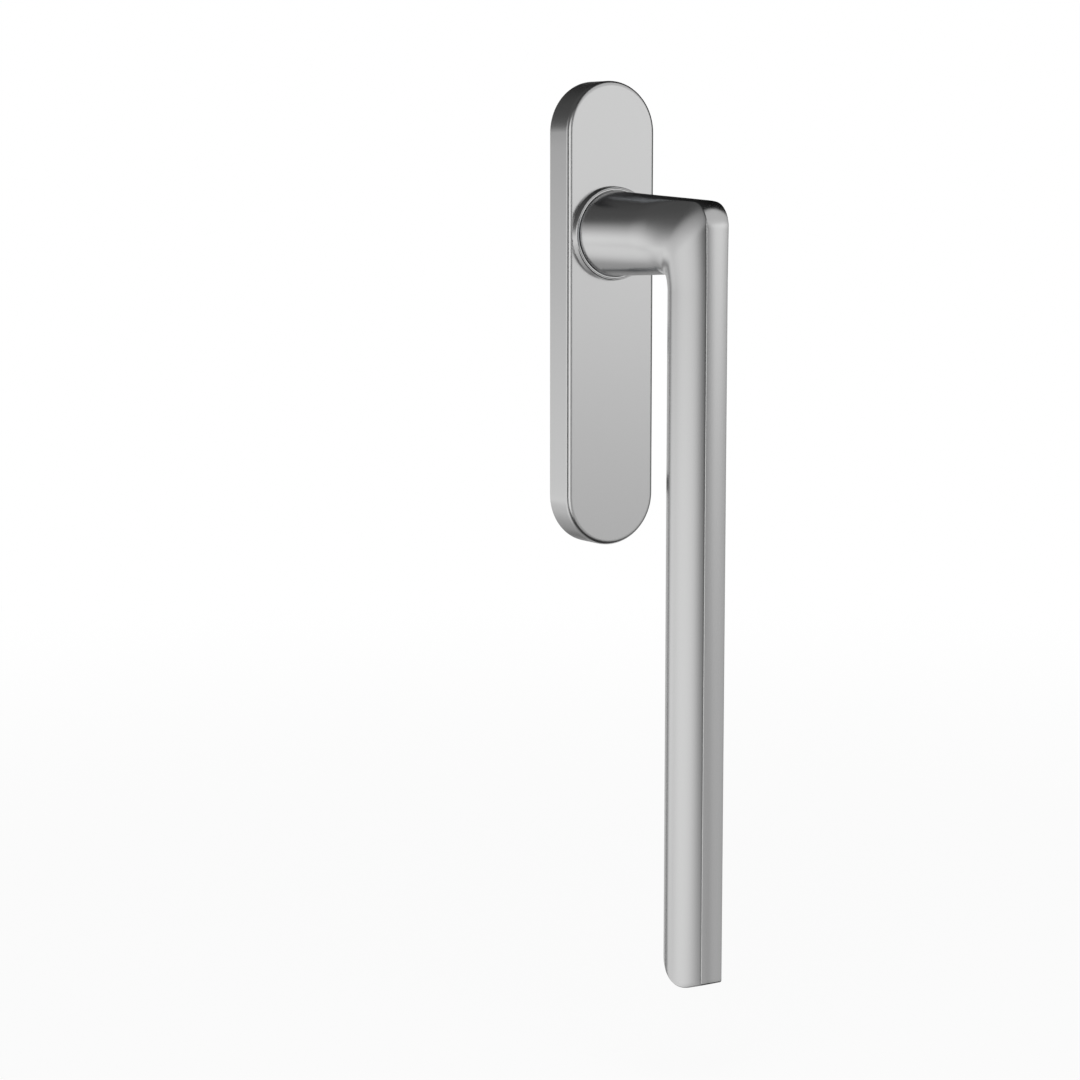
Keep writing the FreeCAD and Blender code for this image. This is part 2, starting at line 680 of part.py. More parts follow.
# Side view of the neck and the crank, as depth and height. The crank's sections fan out from
# the centre of the inner corner.

neck_start = value(collar_front)
neck_half = value(neck_radius)
fan_depth = size["grip_front"] - size["grip_depth"] - size["inner_corner"]
low_line = -neck_half + size["neck_low_rise"]
fan_height = low_line - size["inner_corner"]
corner_depth = size["grip_front"] - size["outer_corner"]
top_slope = -size["neck_top_fall"] / (corner_depth - neck_start)
top_tilt = math.atan(-top_slope)


def top_line(depth):
    """Height of the neck's upper line."""
    return neck_half + top_slope * (depth - neck_start)


corner_height = top_line(corner_depth) - size["outer_corner"] / math.cos(top_tilt)
corner_first = math.atan2(
    corner_depth + size["outer_corner"] * math.sin(top_tilt) - fan_depth,
    corner_height + size["outer_corner"] * math.cos(top_tilt) - fan_height,
)
corner_last = math.atan2(size["grip_front"] - fan_depth, corner_height - fan_height)


def outer_reach(angle):
    """Distance from the fan's centre to the outer side, at an angle from straight up."""
    out, up = math.sin(angle), math.cos(angle)
    if angle < corner_first:
        return (top_line(fan_depth) - fan_height) / (up - top_slope * out)
    if angle > corner_last:
        return (size["grip_front"] - fan_depth) / out
    ahead = (corner_depth - fan_depth) * out + (corner_height - fan_height) * up
    aside = (corner_depth - fan_depth) * up - (corner_height - fan_height) * out
    return ahead + math.sqrt(size["outer_corner"] ** 2 - aside ** 2)


def smooth(share):
    """Goes from 0 to 1 with no kink at either end."""
    share = min(max(share, 0.0), 1.0)
    return share * share * (3 - 2 * share)


# Along the way from the collar round the crank to the grip, the width eases from the neck's to
# the grip's, and the ridges come out between two shares of the way.

NECK_SECTIONS = 5
FAN_SECTIONS = 9
RIDGES_BEGIN = 0.40
RIDGES_FULL = 0.80
WIDTH_EASE = 1.7
neck_length = fan_depth - neck_start
fan_radius = size["inner_corner"] + flank_top
way_length = neck_length + fan_radius * math.pi / 2


def half_width_at(way):
    left = max(1 - way, 0.0)
    return size["grip_half"] + (neck_half - size["grip_half"]) * left ** WIDTH_EASE


def mix_at(way):
    return smooth((way - RIDGES_BEGIN) / (RIDGES_FULL - RIDGES_BEGIN))


distances = []
sections = []
for step in range(NECK_SECTIONS):
    share = step / NECK_SECTIONS
    depth = neck_start + neck_length * share
    top = top_line(depth)
    low = -neck_half + size["neck_low_rise"] * share

    def upright(across, out, depth=depth, middle=(top + low) / 2):
        return Vector(across, -depth, middle + out)

    distances.append(neck_length * share)
    way = distances[-1] / way_length
    sections.append(section_runs(upright, mix_at(way), half_width_at(way), (top - low) / 2))
for step in range(FAN_SECTIONS + 1):
    angle = math.pi / 2 * step / FAN_SECTIONS
    inner, outer = size["inner_corner"], outer_reach(angle)

    def fanned(across, out, angle=angle, middle=(inner + outer) / 2):
        reach = middle + out
        return Vector(
            across, -(fan_depth + reach * math.sin(angle)), fan_height + reach * math.cos(angle)
        )

    distances.append(neck_length + fan_radius * angle)
    way = distances[-1] / way_length
    sections.append(section_runs(fanned, mix_at(way), half_width_at(way), (outer - inner) / 2))

skins = [skin(rows, distances) for rows in zip(*sections)]
neck_end, grip_top = (
    Part.Face(Part.Wire(Part.sortEdges([s.vIso(distance).toShape() for s in skins])[0]))
    for distance in (distances[0], distances[-1])
)
hull = Part.makeShell([s.toShape() for s in skins] + [neck_end, grip_top])
hull.sewShape()
crank = Part.makeSolid(hull)

# The straight grip hangs from the fan's last section and is cut to the tip's side profile

HEEL_PULL = 0.62
HEEL_DROP = 0.3
tip_slope = math.tan(math.radians(size["tip_slant"]))
lowest = -size["tip_front"] - size["tip_flat"] * tip_slope
grip = grip_top.extrude(Vector(0, 0, 2 * lowest - fan_height))
grip_back_depth = size["grip_front"] - size["grip_depth"]
beyond = size["grip_half"]
slant_end = Vector(0, -(size["grip_front"] - size["tip_flat"]), lowest)
heel_end = Vector(0, -grip_back_depth + size["ridge_blend"], lowest + size["tip_rise"])
high_front = Vector(0, -size["grip_front"] - beyond, fan_height + beyond)
high_back = Vector(0, -grip_back_depth + beyond, fan_height + beyond)
low_front = Vector(0, -size["grip_front"] - beyond, -size["tip_front"] + beyond * tip_slope)
heel_back = Vector(0, -grip_back_depth + beyond, lowest + size["tip_rise"])
heel = Part.BezierCurve()
heel_reach = (heel_end.y - slant_end.y) * HEEL_PULL
heel.setPoles([
    slant_end,
    slant_end + Vector(0, heel_reach, -heel_reach * tip_slope),
    heel_end - Vector(0, 0, size["tip_rise"] * HEEL_DROP),
    heel_end,
])
side_profile = Part.Wire([
    Part.makeLine(low_front, slant_end),
    heel.toShape(),
    Part.makeLine(heel_end, heel_back),
    Part.makeLine(heel_back, high_back),
    Part.makeLine(high_back, high_front),
    Part.makeLine(high_front, low_front),
])
side_face = Part.Face(side_profile)
side_face.translate(Vector(-2 * size["grip_half"], 0, 0))
grip = grip.common(side_face.extrude(Vector(4 * size["grip_half"], 0, 0)))


def cylinder_between(radius, back, front):
    """A round length about the spindle's axis, between two depths."""
    return Part.makeCylinder(radius, front - back, Vector(0, -back, 0), Vector(0, -1, 0))


journal = cylinder_between(size["journal_radius"], size["journal_end"], value(neck_back))
root = neck_end.extrude(Vector(0, neck_start - value(neck_back), 0))
groove_floor = size["journal_radius"] - size["groove_cut"]
groove = cylinder_between(
    size["journal_radius"] + size["groove_cut"],
    size["clip_inset"] - size["pin_fit"],
    value(clip_front) + size["pin_fit"],
)
groove = groove.cut(cylinder_between(groove_floor, 0, value(disc_front)))
flat_width = size["journal_radius"]
flat_cut = Part.makeBox(
    flat_width, value(disc_front) + size["pin_fit"], 2 * flat_width,
    Vector(value(disc_flat), -value(disc_front) - size["pin_fit"], -flat_width),
)
socket_half = (size["spindle_width"] + size["spindle_fit"]) / 2
socket = Part.makeBox(
    2 * socket_half, size["socket_front"], 2 * socket_half,
    Vector(-socket_half, -size["socket_front"], -socket_half),
)
pin_hole = Part.makeCylinder(
    size["pin_radius"] + size["pin_fit"],
    2 * neck_half,
    Vector(-neck_half, -value(pin_depth), 0),
    Vector(1, 0, 0),
)
pin_hole = pin_hole.common(cylinder_between(neck_half, 0, value(neck_back)))
lever_shape = crank.multiFuse([grip, root, journal])
lever_shape = lever_shape.cut(Part.Compound([
    groove,
    flat_cut,
    flat_cut.mirror(Vector(0, 0, 0), Vector(1, 0, 0)),
    socket,
    pin_hole,
]))
lever = doc.addObject("Part::Feature", "lever")
lever.Label = "lever"
lever.Shape = lever_shape.removeSplitter()


# Check every object, then write each piece to its own file

doc.recompute()
for thing in doc.Objects:
    if "Invalid" in thing.State or "Error" in thing.State:
        raise RuntimeError(f"{thing.Name} did not build: {thing.State}")

pieces = [thing for thing in doc.Objects if thing.TypeId == "PartDesign::Body"] + [pin, lever]
os.makedirs("parts", exist_ok=True)
for piece in pieces:
    if piece.Shape.isNull() or not piece.Shape.isValid():
        raise RuntimeError(f"{piece.Label} has no valid solid")
for piece in pieces:
    piece.Shape.exportStep(f"parts/{piece.Label}.step")
    box = piece.Shape.optimalBoundingBox(False)
    print(
        f"{piece.Label}: {len(piece.Shape.Solids)} solid, {piece.Shape.Volume / 1000:.2f} cm3,"
        f" {box.XLength:.1f} x {box.YLength:.1f} x {box.ZLength:.1f} mm"
    )
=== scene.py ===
# %% [markdown]
# # Handle of a lift and slide door
# The real object is an oval cover plate in satin steel, a thin collar standing out of it, and
# a long cranked lever whose round neck turns inside the collar. The construction model holds
# the sizes and what moves. This script gives each visible surface its finish, and makes the
# three pieces that show again as fine surfaces, because satin metal shows every facet.

# %% Load the construction model as a fixed frame
import json
import math

import bmesh
import bpy
import numpy as np
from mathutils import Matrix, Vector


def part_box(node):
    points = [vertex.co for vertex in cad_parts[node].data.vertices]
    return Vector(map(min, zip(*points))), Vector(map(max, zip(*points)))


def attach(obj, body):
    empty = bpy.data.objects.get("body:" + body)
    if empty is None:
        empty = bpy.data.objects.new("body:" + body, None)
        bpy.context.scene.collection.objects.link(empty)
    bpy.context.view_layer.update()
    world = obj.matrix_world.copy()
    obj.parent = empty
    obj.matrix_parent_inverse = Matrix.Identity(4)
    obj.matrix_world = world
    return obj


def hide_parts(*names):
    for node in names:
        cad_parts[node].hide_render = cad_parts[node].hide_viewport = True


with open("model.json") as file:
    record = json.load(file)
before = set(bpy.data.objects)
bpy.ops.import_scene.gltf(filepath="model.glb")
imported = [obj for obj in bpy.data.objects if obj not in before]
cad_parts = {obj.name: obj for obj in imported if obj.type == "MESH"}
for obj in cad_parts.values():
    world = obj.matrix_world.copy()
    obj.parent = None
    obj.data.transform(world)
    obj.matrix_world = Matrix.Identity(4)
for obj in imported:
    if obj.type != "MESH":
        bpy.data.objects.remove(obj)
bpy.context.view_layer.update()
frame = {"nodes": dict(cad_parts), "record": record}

MM = 0.001
SAME_POINT = 1e-7
scene = bpy.context.scene

# %% [markdown]
# ## From rows of points to a mesh
# Each piece below is worked out as a grid of points: one direction runs round the piece, the
# other from one of its ends to the other. One helper turns any such grid into a mesh, so the
# shapes themselves stay formulas. An end is closed by running all its points into one.

# %% A grid of points becomes a mesh
def grid_mesh(name, points, close_rows, sharp_angle=35):
    """A mesh from points[row, column], in millimetres: columns always close on themselves,
    rows join the last to the first where close_rows is set. Faces point outwards when the
    columns run anticlockwise seen from where the rows go."""
    rows, columns = points.shape[:2]
    row = np.arange(rows if close_rows else rows - 1)[:, None]
    column = np.arange(columns)[None, :]
    next_row, next_column = (row + 1) % rows, (column + 1) % columns
    quads = np.stack([
        row * columns + column,
        row * columns + next_column,
        next_row * columns + next_column,
        next_row * columns + column,
    ], axis=-1).reshape(-1, 4)
    mesh = bpy.data.meshes.new(name)
    mesh.from_pydata((points.reshape(-1, 3) * MM).tolist(), [], quads.tolist())
    shaped = bmesh.new()
    shaped.from_mesh(mesh)
    bmesh.ops.remove_doubles(shaped, verts=shaped.verts, dist=SAME_POINT)
    bmesh.ops.recalc_face_normals(shaped, faces=shaped.faces)
    shaped.to_mesh(mesh)
    shaped.free()
    mesh.shade_smooth()
    mesh.set_sharp_from_angle(angle=math.radians(sharp_angle))
    piece = bpy.data.objects.new(name, mesh)
    scene.collection.objects.link(piece)
    print(f"{name}: {len(mesh.polygons)} faces")
    return piece


def smooth(share):
    """Goes from 0 to 1 with no kink at either end: three share squared less two share cubed."""
    share = np.clip(share, 0, 1)
    return share * share * (3 - 2 * share)


# %% [markdown]
# ## Sizes
# The frame gives where each piece lies. The sizes that the frame can't tell are the ones the
# object was designed with, in millimetres. Only the finest ones, such as the radius of a broken
# edge, are matched to what the photograph shows.

# %% Sizes in millimetres, those of the frame first
def box_mm(node):
    """The two corners of a node's box in the frame, in millimetres."""
    low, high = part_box(node)
    return np.array(low) / MM, np.array(high) / MM


plate_low, plate_high = box_mm("cover_plate")
collar_low, collar_high = box_mm("guide_ring")
lever_low, lever_high = box_mm("lever")
PLATE_HALF = plate_high[0]
PLATE_TOP = plate_high[2]
PLATE_BOTTOM = plate_low[2]
PLATE_DEPTH = -plate_low[1]
COLLAR_RADIUS = collar_high[0]
COLLAR_FRONT = -collar_low[1]
COLLAR_BACK = -collar_high[1]
GRIP_FRONT = -lever_low[1]
NECK_RADIUS = lever_high[0]
JOURNAL_END = -lever_high[1]
PLATE_WALL = 1.2
PLATE_EDGE = 1.8
COVER_GAP = 0.25
NECK_GAP = 0.25
print(f"plate {2 * PLATE_HALF:.1f} x {PLATE_TOP - PLATE_BOTTOM:.1f} x {PLATE_DEPTH:.1f} mm")
print(f"lever reaches {GRIP_FRONT:.1f} mm out and {-lever_low[2]:.1f} mm down")

# %% [markdown]
# ## The lever's section
# The neck is round and the grip is not: it has a narrow, slightly crowned facet in front, two
# soft ridges, flanks that widen to the back, and a rounded back. Both outlines are cut into
# the same stretches, each beginning and ending where the two outlines point the same way, so
# a mix of the two stays smooth and its ridges fade out towards the round neck.

# %% Outlines of the grip and of the neck, point for point
FACET_HALF = 4.45
FACET_CROWN = 20.0
RIDGE_BLEND = 0.2
GRIP_HALF = 8.45
GRIP_DEPTH = 26.0
BACK_SHARE = 10.5
FLANK_LEAN = math.radians(28)


def arc_way(angle):
    """The direction along an outline where its outward normal leans this far from the front."""
    return np.array([math.cos(angle), -math.sin(angle)])


def arc_normal(angle):
    """The outward normal that leans this far from the front: its sine across, its cosine up."""
    return np.stack([np.sin(angle), np.cos(angle)], axis=-1)


front = GRIP_DEPTH / 2
facet_end = np.array([FACET_HALF - RIDGE_BLEND, 0])
facet_end[1] = front - facet_end[0] ** 2 / (2 * FACET_CROWN)
facet_angle = math.atan(facet_end[0] / FACET_CROWN)
flank_angle = math.pi / 2 - FLANK_LEAN
ridge = facet_end + arc_way(facet_angle) * RIDGE_BLEND
ridge_radius = RIDGE_BLEND / math.tan((flank_angle - facet_angle) / 2)
ridge_centre = facet_end - arc_normal(np.array(facet_angle)) * ridge_radius
flank_start = ridge + arc_way(flank_angle) * RIDGE_BLEND
widest = np.array([GRIP_HALF, BACK_SHARE - front])
flank_pull = np.array([
    GRIP_HALF, flank_start[1] - (GRIP_HALF - flank_start[0]) / math.tan(FLANK_LEAN),
])


def half_outlines(facet_steps=10, ridge_steps=8, flank_steps=22, back_steps=26):
    """The right half of both outlines, from the front's middle to the back's middle.
    Grip: parabola, arc, a curve pulled towards the corner of its two end tangents (quadratic
    Bezier), quarter ellipse. Neck: the unit circle at the same outward directions."""
    s = np.linspace(0, 1, facet_steps, endpoint=False)
    facet = np.stack([facet_end[0] * s, front - (facet_end[0] * s) ** 2 / (2 * FACET_CROWN)], -1)
    facet_turn = facet_angle * s
    s = np.linspace(0, 1, ridge_steps, endpoint=False)
    ridge_turn = facet_angle + (flank_angle - facet_angle) * s
    rounding = ridge_centre + arc_normal(ridge_turn) * ridge_radius
    s = np.linspace(0, 1, flank_steps, endpoint=False)[:, None]
    flank = (1 - s) ** 2 * flank_start + 2 * s * (1 - s) * flank_pull + s ** 2 * widest
    t = np.linspace(0, math.pi / 2, back_steps + 1)
    back = np.stack([GRIP_HALF * np.cos(t), widest[1] - BACK_SHARE * np.sin(t)], -1)
    last = np.linspace(0, 1, flank_steps + back_steps + 1)
    back_turn = flank_angle + (math.pi - flank_angle) * last
    turns = np.concatenate([facet_turn, ridge_turn, back_turn])
    return np.concatenate([facet, rounding, flank, back]), arc_normal(turns)


def whole(half):
    """Both halves of an outline: the right one down, then its mirror image back up."""
    return np.concatenate([half, half[-2:0:-1] * np.array([-1, 1])])


grip_half_outline, neck_half_outline = half_outlines()
GRIP = whole(grip_half_outline)
ROUND = whole(neck_half_outline)
print(f"the outlines have {len(GRIP)} points and the ridges a radius of {ridge_radius:.2f} mm")

# %% [markdown]
# ## The lever's path
# Seen from the side, the neck's upper line falls a little towards the front, turns round the
# outer corner and runs down the front of the grip. The sections stand upright along the neck
# and then fan out about the centre of the inner corner's rounding, like the pages of a book,
# until they lie flat at the top of the grip.

# %% Side view: where the upper and lower lines run
OUTER_CORNER = 9.0
INNER_CORNER = 5.5
NECK_TOP_FALL = 2.9
NECK_LOW_RISE = 1.6
RIDGES_BEGIN = 0.40
RIDGES_FULL = 0.72
WIDTH_EASE = 1.7
NECK_BACK = 10.45
NECK_ROWS = 36
CRANK_ROWS = 64

neck_start = COLLAR_FRONT
fan_depth = GRIP_FRONT - GRIP_DEPTH - INNER_CORNER
fan_height = -NECK_RADIUS + NECK_LOW_RISE - INNER_CORNER
corner_depth = GRIP_FRONT - OUTER_CORNER
top_slope = -NECK_TOP_FALL / (corner_depth - neck_start)
tilt = math.atan(-top_slope)


def top_line(depth):
    """Height of the neck's upper line at a depth."""
    return NECK_RADIUS + top_slope * (depth - neck_start)


corner_height = top_line(corner_depth) - OUTER_CORNER / math.cos(tilt)
corner_first = math.atan2(
    corner_depth + OUTER_CORNER * math.sin(tilt) - fan_depth,
    corner_height + OUTER_CORNER * math.cos(tilt) - fan_height,
)
corner_last = math.atan2(GRIP_FRONT - fan_depth, corner_height - fan_height)


def outer_reach(turn):
    """From the fan's centre to the outer side: to the upper line, then to the corner's circle,
    then to the front line."""
    out, up = np.sin(turn), np.cos(turn)
    to_top = (top_line(fan_depth) - fan_height) / (up - top_slope * out)
    ahead = (corner_depth - fan_depth) * out + (corner_height - fan_height) * up
    aside = (corner_depth - fan_depth) * up - (corner_height - fan_height) * out
    to_corner = ahead + np.sqrt(np.maximum(OUTER_CORNER ** 2 - aside ** 2, 0))
    to_front = (GRIP_FRONT - fan_depth) / np.maximum(out, 1e-9)
    return np.where(turn < corner_first, to_top, np.where(turn > corner_last, to_front, to_corner))


neck_length = fan_depth - neck_start
fan_radius = INNER_CORNER + front
way_length = neck_length + fan_radius * math.pi / 2


def sections_at(way, half_height):
    """Outlines at shares of the way from the collar to the grip, one per row. The half width
    falls with a power of the way left, and the grip's outline takes over from the round one
    between two shares of the way."""
    half_width = GRIP_HALF + (NECK_RADIUS - GRIP_HALF) * (1 - way) ** WIDTH_EASE
    mix = smooth((way - RIDGES_BEGIN) / (RIDGES_FULL - RIDGES_BEGIN))[:, None, None]
    on_grip = GRIP / np.array([GRIP_HALF, front])
    scale = np.stack([half_width, half_height], -1)[:, None, :]
    return (ROUND * (1 - mix) + on_grip * mix) * scale


# %% [markdown]
# ## The lever
# It is one casting, so it is one surface here: from the tip, up the grip, round the crank,
# down the neck into the collar, over the journal that turns in the bushes, and into the
# square socket that takes the spindle.

# %% Sections of the neck, the crank and the grip
share = np.linspace(0, 1, NECK_ROWS, endpoint=False)
depth = neck_start + neck_length * share
top, low = top_line(depth), -NECK_RADIUS + NECK_LOW_RISE * share
outline = sections_at(neck_length * share / way_length, (top - low) / 2)
neck = np.stack([
    outline[..., 0],
    np.broadcast_to(-depth[:, None], outline.shape[:2]),
    ((top + low) / 2)[:, None] + outline[..., 1],
], -1)

turn = np.linspace(0, math.pi / 2, CRANK_ROWS)
reach = outer_reach(turn)
way = np.minimum((neck_length + fan_radius * turn) / way_length, 1)
outline = sections_at(way, (reach - INNER_CORNER) / 2)
from_centre = ((reach + INNER_CORNER) / 2)[:, None] + outline[..., 1]
crank = np.stack([
    outline[..., 0],
    -(fan_depth + from_centre * np.sin(turn)[:, None]),
    fan_height + from_centre * np.cos(turn)[:, None],
], -1)
print(f"{NECK_ROWS + CRANK_ROWS} sections from the collar to the grip, {way_length:.1f} mm of way")

# %% [markdown]
# The tip is cut aslant: its end face falls from the front corner towards the door, and a
# rounded heel leads from there up into the back. The edge round this face is only slightly
# broken, so it keeps a crisp line.

# %% The tip: a height for each distance behind the front, then the end face
TIP_FRONT = 270.0
TIP_SLOPE = math.tan(math.radians(19))
TIP_FLAT = 5.6
TIP_RISE = 18.0
HEEL_PULL = 0.62
HEEL_DROP = 0.3
HEEL_SHORT = 0.2
HEEL_SAMPLES = 400
TIP_EDGE = 0.6
TIP_EDGE_ROWS = 6
FACE_MIDDLE = 0.45
FACE_RINGS = 24

lowest = -TIP_FRONT - TIP_FLAT * TIP_SLOPE
heel_first = np.array([TIP_FLAT, lowest])
heel_last = np.array([GRIP_DEPTH - HEEL_SHORT, lowest + TIP_RISE])
heel_reach = (heel_last[0] - TIP_FLAT) * HEEL_PULL
heel_pulls = [
    heel_first + np.array([heel_reach, -heel_reach * TIP_SLOPE]),
    heel_last - np.array([0, TIP_RISE * HEEL_DROP]),
]
t = np.linspace(0, 1, HEEL_SAMPLES)[:, None]
heel = (
    (1 - t) ** 3 * heel_first + 3 * t * (1 - t) ** 2 * heel_pulls[0]
    + 3 * t ** 2 * (1 - t) * heel_pulls[1] + t ** 3 * heel_last
)


def tip_height(y):
    """Height of the end face: a slanted line, then a cubic Bezier curve that leaves it
    smoothly and climbs to the grip's back."""
    behind = y + GRIP_FRONT
    on_slant = -TIP_FRONT - behind * TIP_SLOPE
    return np.where(behind < TIP_FLAT, on_slant, np.interp(behind, heel[:, 0], heel[:, 1]))


grip_ring = crank[-1]
edge_way = np.roll(grip_ring, -1, 0) - np.roll(grip_ring, 1, 0)
inward = np.stack([edge_way[:, 1], -edge_way[:, 0], np.zeros(len(edge_way))], -1)
inward /= np.linalg.norm(inward, axis=1, keepdims=True)
middle = np.array([0, -(GRIP_FRONT - GRIP_DEPTH / 2), 0])
inward *= np.sign(np.sum(inward * (middle - grip_ring), axis=1, keepdims=True))


def at_tip(ring, above=0.0):
    """A ring of the grip set down on the end face, or a little above it."""
    placed = ring.copy()
    placed[:, 2] = tip_height(ring[:, 1]) + above
    return placed


bend = np.linspace(0, math.pi / 2, TIP_EDGE_ROWS)
edge_rings = [
    at_tip(grip_ring + inward * TIP_EDGE * (1 - math.cos(b)), TIP_EDGE * (1 - math.sin(b)))
    for b in bend
]
flat_middle = np.array([0, -(GRIP_FRONT - GRIP_DEPTH * FACE_MIDDLE), 0])
inner_ring = grip_ring + inward * TIP_EDGE
face_rings = [
    at_tip(flat_middle + (inner_ring - flat_middle) * np.array([k, k, 0]))
    for k in np.sin(np.linspace(math.pi / 2, 0, FACE_RINGS + 1))[1:]
]
# Two rows close above the edge keep its shading from spreading up the ridges
GRIP_ROWS = 12
ROWS_NEAR_TIP = [0.97, 0.995]
straight = [
    grip_ring * np.array([1, 1, 1 - k]) + edge_rings[0] * np.array([0, 0, k])
    for k in [*np.linspace(0, 1, GRIP_ROWS, endpoint=False)[1:], *ROWS_NEAR_TIP]
]
print(f"the tip's lowest line lies {-np.min(edge_rings, axis=(0, 1))[2]:.1f} mm below the spindle")

# %% [markdown]
# Behind the collar the neck ends in a shoulder. The journal follows, with the groove for the
# retaining ring and two flats for the stop disc, and then the square socket.

# %% Root of the neck, journal and socket
JOURNAL_RADIUS = 10.0
FLAT_FROM_AXIS = 8.5
FLAT_FRONT = 4.75
GROOVE_RADIUS = 9.5
GROOVE_BACK, GROOVE_FRONT = 0.78, 2.02
SOCKET_HALF = 5.05
SOCKET_FRONT = 38.0
SOCKET_MIDDLE = 0.01


def ring_at(depth, radius, flats=None):
    """A round ring about the spindle's axis, cut by two flats where they are given."""
    across, up = ROUND[:, 0] * radius, ROUND[:, 1] * radius
    if flats is not None:
        across = np.clip(across, -flats, flats)
    return np.stack([across, np.full(len(ROUND), -depth), up], -1)


def square_at(depth, half):
    """A square ring: the round one pushed out along its radius until it meets a square."""
    push = half / np.max(np.abs(ROUND), axis=1)
    return np.stack([ROUND[:, 0] * push, np.full(len(ROUND), -depth), ROUND[:, 1] * push], -1)


root = [
    square_at(SOCKET_FRONT, SOCKET_MIDDLE),
    square_at(SOCKET_FRONT, SOCKET_HALF),
    square_at(JOURNAL_END, SOCKET_HALF),
    ring_at(JOURNAL_END, JOURNAL_RADIUS, FLAT_FROM_AXIS),
    ring_at(GROOVE_BACK, JOURNAL_RADIUS, FLAT_FROM_AXIS),
    ring_at(GROOVE_BACK, GROOVE_RADIUS, FLAT_FROM_AXIS),
    ring_at(GROOVE_FRONT, GROOVE_RADIUS, FLAT_FROM_AXIS),
    ring_at(GROOVE_FRONT, JOURNAL_RADIUS, FLAT_FROM_AXIS),
    ring_at(FLAT_FRONT, JOURNAL_RADIUS, FLAT_FROM_AXIS),
    ring_at(FLAT_FRONT, JOURNAL_RADIUS),
    ring_at(NECK_BACK, JOURNAL_RADIUS),
    ring_at(NECK_BACK, NECK_RADIUS),
]
lever_rows = np.array([*root, *neck, *crank, *straight, *edge_rings, *face_rings])
lever = grid_mesh("lever_casting", lever_rows, close_rows=False)

# %% [markdown]
# ## The cover plate
# A drawn cover is one sheet of one thickness: a flat front with a round hole, a rounded
# edge, a straight wall and an open back. Its outline is a stadium, and a stadium set in by
# any amount is again a stadium about the same two centres, so the whole sheet is one grid
# whose rows are set in and set back by the profile.

# %% Outline of the plate, set in by any amount
ARC_STEPS = 48
SIDE_STEPS = 24
upper_centre = np.array([0, PLATE_TOP - PLATE_HALF])
lower_centre = np.array([0, PLATE_BOTTOM + PLATE_HALF])
upper_arc = np.linspace(0, math.pi, ARC_STEPS + 1)
lower_arc = np.linspace(math.pi, 2 * math.pi, ARC_STEPS + 1)
side = np.linspace(0, 1, SIDE_STEPS + 1)[1:-1, None]
left_centres = upper_centre * (1 - side) + lower_centre * side
stadium_centres = np.concatenate([
    np.repeat(upper_centre[None], ARC_STEPS + 1, 0),
    left_centres,
    np.repeat(lower_centre[None], ARC_STEPS + 1, 0),
    left_centres[::-1],
])
stadium_turns = np.concatenate([
    upper_arc,
    np.full(SIDE_STEPS - 1, math.pi),
    lower_arc,
    np.full(SIDE_STEPS - 1, 2 * math.pi),
])
stadium_normals = np.stack([np.cos(stadium_turns), np.sin(stadium_turns)], -1)


def stadium_ring(set_in, depth):
    """The outline set in by a distance, at a depth."""
    flat = stadium_centres + stadium_normals * (PLATE_HALF - set_in)
    return np.stack([flat[:, 0], np.full(len(flat), -depth), flat[:, 1]], -1)


outline_way = stadium_ring(0, 0)[:, [0, 2]]
outline_way = outline_way / np.linalg.norm(outline_way, axis=1, keepdims=True)


def hole_ring(radius, depth):
    """A circle about the spindle, each point on the line from the axis to its outline point."""
    return np.stack([
        outline_way[:, 0] * radius, np.full(len(outline_way), -depth), outline_way[:, 1] * radius,
    ], -1)


# A row close to each end of the rounding keeps its shading from spreading over the flat faces
SUPPORT = 0.15
EDGE_ROWS = 10
hole = COLLAR_RADIUS + COVER_GAP
bend = np.linspace(0, math.pi / 2, EDGE_ROWS)
plate_rows = [
    stadium_ring(PLATE_WALL, 0),
    stadium_ring(0, 0),
    stadium_ring(0, PLATE_DEPTH - PLATE_EDGE - SUPPORT),
    *[
        stadium_ring(PLATE_EDGE * (1 - math.cos(b)), PLATE_DEPTH - PLATE_EDGE * (1 - math.sin(b)))
        for b in bend
    ],
    stadium_ring(PLATE_EDGE + SUPPORT, PLATE_DEPTH),
    hole_ring(hole, PLATE_DEPTH),
    hole_ring(hole, PLATE_DEPTH - PLATE_WALL),
    stadium_ring(PLATE_WALL, PLATE_DEPTH - PLATE_WALL),
]
cover = grid_mesh("satin_cover", np.array(plate_rows), close_rows=True)

# %% [markdown]
# ## The collar
# The collar is turned, so a profile carried round the spindle's axis makes it. Its front
# edges are bevelled, and a fine groove in its face draws a thin dark line between two pale ones.

# %% The collar's profile, turned
COLLAR_BEVEL = 0.3
FACE_GROOVE_HALF = 0.17
FACE_GROOVE_DEPTH = 0.25
COLLAR_STEPS = 160
collar_inner = NECK_RADIUS + NECK_GAP
face_groove = (collar_inner + COLLAR_RADIUS) / 2
collar_profile = np.array([
    (collar_inner, COLLAR_BACK),
    (COLLAR_RADIUS, COLLAR_BACK),
    (COLLAR_RADIUS, COLLAR_FRONT - COLLAR_BEVEL),
    (COLLAR_RADIUS - COLLAR_BEVEL, COLLAR_FRONT),
    (face_groove + FACE_GROOVE_HALF, COLLAR_FRONT),
    (face_groove, COLLAR_FRONT - FACE_GROOVE_DEPTH),
    (face_groove - FACE_GROOVE_HALF, COLLAR_FRONT),
    (collar_inner + COLLAR_BEVEL / 2, COLLAR_FRONT),
    (collar_inner, COLLAR_FRONT - COLLAR_BEVEL / 2),
])
around = np.linspace(0, 2 * math.pi, COLLAR_STEPS, endpoint=False)
collar_rows = np.stack([
    collar_profile[:, :1] * np.cos(around),
    np.broadcast_to(-collar_profile[:, 1:], (len(collar_profile), len(around))),
    collar_profile[:, :1] * np.sin(around),
], -1)
collar = grid_mesh("satin_collar", collar_rows, close_rows=True, sharp_angle=25)

